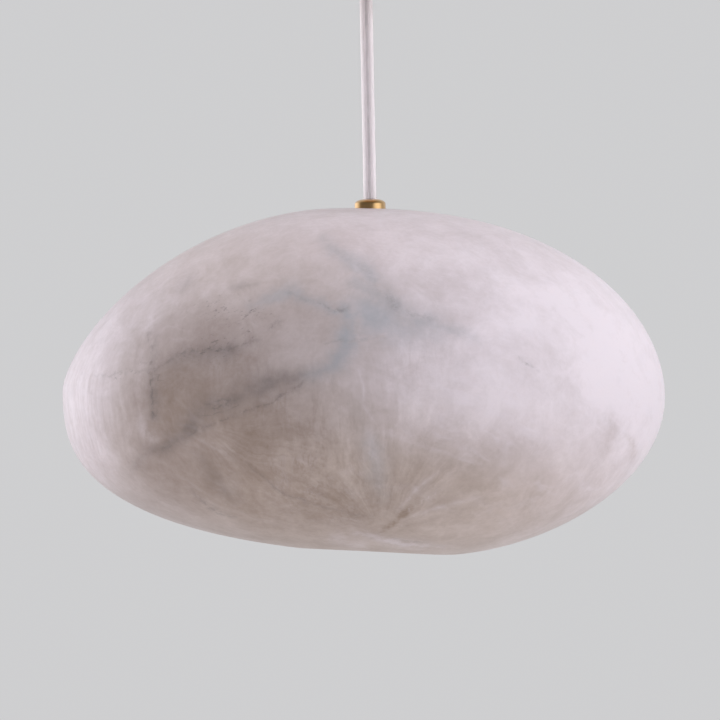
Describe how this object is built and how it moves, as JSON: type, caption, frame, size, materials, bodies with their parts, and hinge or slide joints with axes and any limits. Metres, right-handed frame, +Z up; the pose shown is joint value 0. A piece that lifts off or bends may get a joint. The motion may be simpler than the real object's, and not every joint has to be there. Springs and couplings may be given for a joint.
{
  "type": "alabaster pendant light",
  "caption": "Pendant light: a hollow pebble of veined alabaster hangs by a brass collar on a clear cord from a brass ceiling canopy, with plug-in lamps inside.",
  "frame": {"origin": "middle of the ceiling bracket's upper face, on the ceiling plane, midway between its two slots", "axes": "+Z up to the ceiling, +X to the right in the picture, -Y towards the viewer"},
  "size_m": [0.3007, 0.2401, 0.3289],
  "materials": {
    "alabaster": "honed natural alabaster, grey and brown veins",
    "brass": "brushed, lacquered",
    "contact_brass": "plain turned",
    "zinc_steel": "zinc plated",
    "wire_steel": "bright stranded wire",
    "clear_jacket": "clear flexible PVC",
    "core_cover": "pale insulation",
    "rubber": "soft rubber",
    "white_nylon": "moulded nylon",
    "white_enamel": "white enamel",
    "ceramic": "plain steatite",
    "lamp_base": "white",
    "pin_metal": "tinned",
    "frosted": "frosted",
    "light_board": "light board"
  },
  "bodies": {
    "ceiling": {"ceiling_bracket": "zinc_steel", "bracket_nipple": "zinc_steel", "bracket_nuts": "zinc_steel", "upper_wire_stop": "contact_brass", "upper_stop_screw": "zinc_steel", "cord_head": "clear_jacket", "feed_leads": "core_cover", "head_wire": "wire_steel", "terminal_block": "white_nylon", "terminal_clamps": "contact_brass", "terminal_screws": "zinc_steel", "terminal_fixing_screw": "zinc_steel", "earth_screw": "zinc_steel", "canopy_cover": "brass", "canopy_collar": "brass"},
    "bend": {"cord_bend": "clear_jacket"},
    "cord": {"suspension_cord": "clear_jacket", "cord_cores": "core_cover", "suspension_wire": "wire_steel", "lower_wire_stop": "contact_brass", "lower_stop_screw": "zinc_steel", "cord_connector": "white_nylon"},
    "shade": {"top_collar": "brass", "collar_gasket": "rubber", "threaded_nipple": "zinc_steel", "alabaster_shade": "alabaster", "roof_pad": "rubber", "load_plate": "zinc_steel", "plate_nut": "zinc_steel", "plate_spacers": "brass", "lamp_plate": "white_enamel", "plate_screws": "zinc_steel", "lampholders": "ceramic", "holder_screws": "zinc_steel", "holder_contacts": "contact_brass", "holder_leads": "core_cover"},
    "lamp_1": {"lamp_1_base": "lamp_base", "lamp_1_pins": "pin_metal", "lamp_1_cover": "frosted", "lamp_1_board": "light_board"},
    "lamp_2": {"lamp_2_base": "lamp_base", "lamp_2_pins": "pin_metal", "lamp_2_cover": "frosted", "lamp_2_board": "light_board"},
    "lamp_3": {"lamp_3_base": "lamp_base", "lamp_3_pins": "pin_metal", "lamp_3_cover": "frosted", "lamp_3_board": "light_board"}
  },
  "joints": [
    {"name": "swing_side", "type": "hinge", "parent": "ceiling", "child": "bend", "pos_m": [0, 0, -0.039], "axis": [0, 1, 0], "range_deg": [-12, 12]},
    {"name": "swing_front", "type": "hinge", "parent": "bend", "child": "cord", "pos_m": [0, 0, -0.0435], "axis": [1, 0, 0], "range_deg": [-12, 12]},
    {"name": "shade_turn", "type": "hinge", "parent": "cord", "child": "shade", "pos_m": [0, 0, -0.1565], "axis": [0, 0, 1], "range_deg": [-180, 180]},
    {"name": "lamp_1_pull", "type": "slide", "parent": "shade", "child": "lamp_1", "axis": [0, 0, -1], "range_m": [0, 0.125]},
    {"name": "lamp_2_pull", "type": "slide", "parent": "shade", "child": "lamp_2", "axis": [0, 0, -1], "range_m": [0, 0.125]},
    {"name": "lamp_3_pull", "type": "slide", "parent": "shade", "child": "lamp_3", "axis": [0, 0, -1], "range_m": [0, 0.125]}
  ]
}
